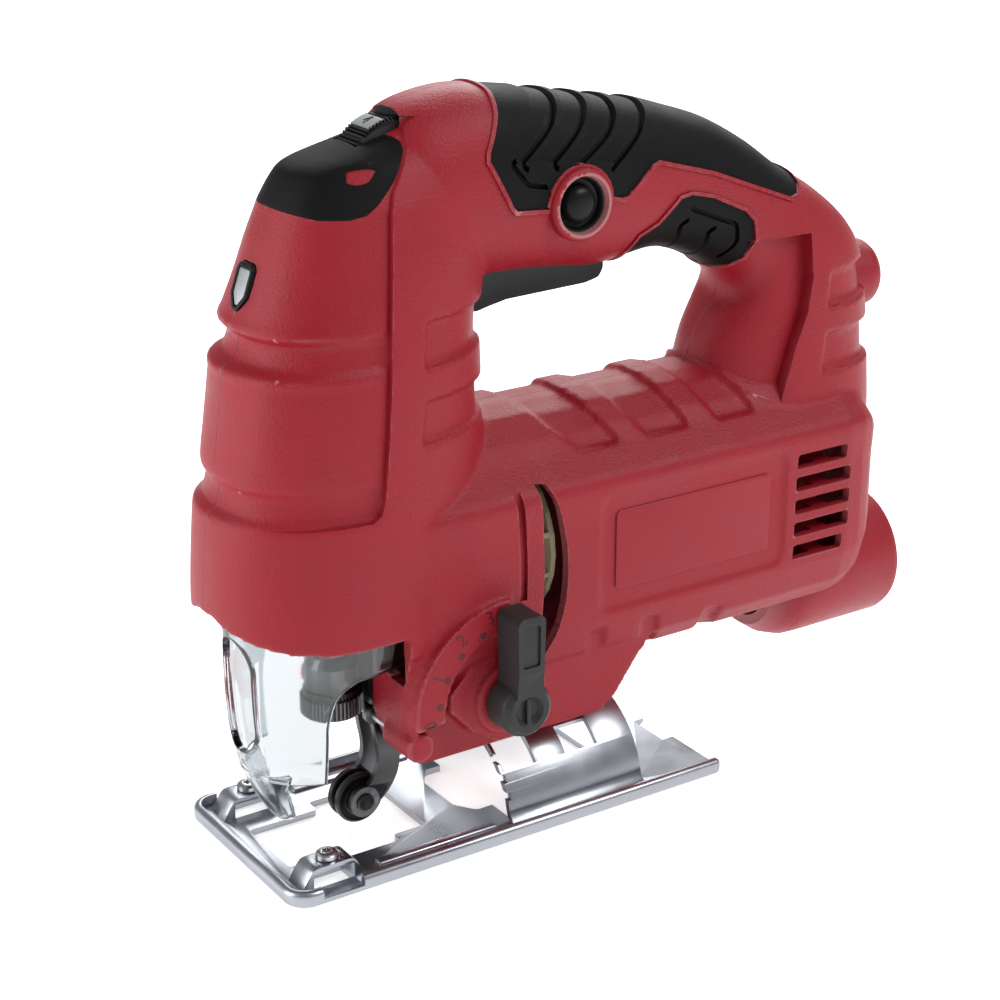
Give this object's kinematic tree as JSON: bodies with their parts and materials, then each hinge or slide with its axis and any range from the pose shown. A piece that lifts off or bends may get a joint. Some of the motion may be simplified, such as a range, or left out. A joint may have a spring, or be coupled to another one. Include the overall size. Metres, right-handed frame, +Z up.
{
  "type": "jigsaw",
  "caption": "Corded orbital jigsaw with a D-handle, tilting steel shoe, roller blade guide and clear guard.",
  "frame": {"origin": "on the shoe's underside, on its web between the blade opening and the bevel arch, on the tool's centre plane", "axes": "-X to the front of the tool, where it cuts; +X to the dust port; +Z up, away from the work; -Y to the tool's left, where the pendulum lever is"},
  "size_m": [0.2297, 0.0766, 0.2086],
  "materials": {
    "red_nylon": "satin, fine texture",
    "soft_black": "matte, fine grain",
    "black_plastic": "satin",
    "clear_plastic": "clear, polished",
    "zinc_plate": "bright zinc plate",
    "bright_steel": "ground",
    "black_oxide_steel": "black oxide",
    "lamination_steel": "stacked laminations",
    "copper": "enamelled copper wire",
    "sintered_bronze": "sintered",
    "cast_aluminium": "as cast",
    "cream_plastic": "moulded",
    "carbon": "pressed carbon"
  },
  "bodies": {
    "housing": {"housing_left": "red_nylon", "housing_right": "red_nylon", "top_grip_left": "soft_black", "top_grip_right": "soft_black", "finger_pad_left": "soft_black", "finger_pad_right": "soft_black", "front_cap": "soft_black", "switch_module": "black_plastic", "speed_control": "black_plastic", "stator_core": "lamination_steel", "field_coil_upper": "copper", "field_coil_lower": "copper", "front_bearing": "bright_steel", "rear_bearing": "bright_steel", "brush_left": "carbon", "brush_right": "carbon", "brush_holder_left": "sintered_bronze", "brush_holder_right": "sintered_bronze", "gear_frame": "cast_aluminium", "gear_shaft": "bright_steel", "upper_bush": "sintered_bronze", "lower_bush": "sintered_bronze", "fork_pin": "bright_steel", "cord_gland": "red_nylon", "dust_port": "red_nylon", "shoe_clamp_plate": "bright_steel", "shoe_screw": "bright_steel", "housing_screw_1": "black_oxide_steel", "housing_screw_2": "black_oxide_steel", "housing_screw_3": "black_oxide_steel", "housing_screw_4": "black_oxide_steel", "housing_screw_5": "black_oxide_steel", "housing_screw_6": "black_oxide_steel", "housing_screw_7": "black_oxide_steel"},
    "trigger": {"trigger": "black_plastic"},
    "lock_on_button": {"lock_on_button": "black_plastic"},
    "front_button": {"front_button": "black_plastic"},
    "speed_dial": {"speed_dial": "black_plastic"},
    "pendulum_lever": {"pendulum_lever": "black_plastic", "pendulum_shaft": "bright_steel"},
    "armature": {"motor_shaft": "bright_steel", "armature_core": "lamination_steel", "commutator": "copper", "fan": "cream_plastic", "pinion": "bright_steel"},
    "drive_gear": {"drive_gear": "bright_steel", "crank_pin": "bright_steel"},
    "plunger": {"plunger": "bright_steel", "plunger_yoke": "bright_steel", "blade_clamp": "black_oxide_steel"},
    "clamp_collar": {"clamp_collar": "black_oxide_steel"},
    "fork": {"fork": "black_oxide_steel", "roller_pin": "black_oxide_steel"},
    "roller": {"roller": "black_oxide_steel"},
    "blade_guard": {"blade_guard": "clear_plastic"},
    "shoe": {"shoe": "zinc_plate", "fence_screw_left": "bright_steel", "fence_screw_right": "bright_steel"}
  },
  "joints": [
    {"name": "trigger_pull", "type": "slide", "parent": "housing", "child": "trigger", "axis": [0, 0, 1], "range_m": [0, 0.006], "stiffness_N_per_m": 250, "springref_m": -0.004},
    {"name": "lock_on_press", "type": "slide", "parent": "housing", "child": "lock_on_button", "axis": [0, 1, 0], "range_m": [0, 0.0025], "stiffness_N_per_m": 200, "springref_m": -0.002},
    {"name": "front_button_press", "type": "slide", "parent": "housing", "child": "front_button", "axis": [1, 0, 0], "range_m": [0, 0.0012], "stiffness_N_per_m": 300, "springref_m": -0.001},
    {"name": "speed_dial_turn", "type": "hinge", "parent": "housing", "child": "speed_dial", "pos_m": [-0.007, 0, 0.1885], "axis": [0, 1, 0], "range_deg": [-140, 140]},
    {"name": "pendulum_lever_turn", "type": "hinge", "parent": "housing", "child": "pendulum_lever", "pos_m": [0.0096, -0.0436, 0.0455], "axis": [0, 1, 0], "range_deg": [-84, 0]},
    {"name": "armature_spin", "type": "hinge", "parent": "housing", "child": "armature", "pos_m": [-0.014, 0, 0.08], "axis": [1, 0, 0], "continuous": true},
    {"name": "drive_gear_spin", "type": "hinge", "parent": "housing", "child": "drive_gear", "pos_m": [-0.014, 0, 0.10625], "axis": [1, 0, 0], "continuous": true},
    {"name": "plunger_stroke", "type": "slide", "parent": "housing", "child": "plunger", "axis": [0, 0, 1], "range_m": [0, 0.018]},
    {"name": "clamp_collar_twist", "type": "hinge", "parent": "plunger", "child": "clamp_collar", "pos_m": [-0.028, 0, 0.0388], "axis": [0, 0, 1], "range_deg": [0, 60], "stiffness_Nm_per_rad": 0.03, "springref_deg": -11.46},
    {"name": "fork_swing", "type": "hinge", "parent": "housing", "child": "fork", "pos_m": [-0.0176, 0, 0.0366], "axis": [0, 1, 0], "range_deg": [-3, 2]},
    {"name": "roller_spin", "type": "hinge", "parent": "fork", "child": "roller", "pos_m": [-0.0214, 0, 0.0101], "axis": [0, 1, 0], "continuous": true},
    {"name": "guard_lift", "type": "hinge", "parent": "housing", "child": "blade_guard", "pos_m": [-0.012, 0, 0.0627], "axis": [0, 1, 0], "range_deg": [0, 25]},
    {"name": "shoe_tilt", "type": "hinge", "parent": "housing", "child": "shoe", "pos_m": [0, 0, -0.001], "axis": [1, 0, 0], "range_deg": [-45, 45]}
  ],
  "couplings": [
    {"joint": "drive_gear_spin", "follows": "armature_spin", "ratio": -0.2381}
  ]
}
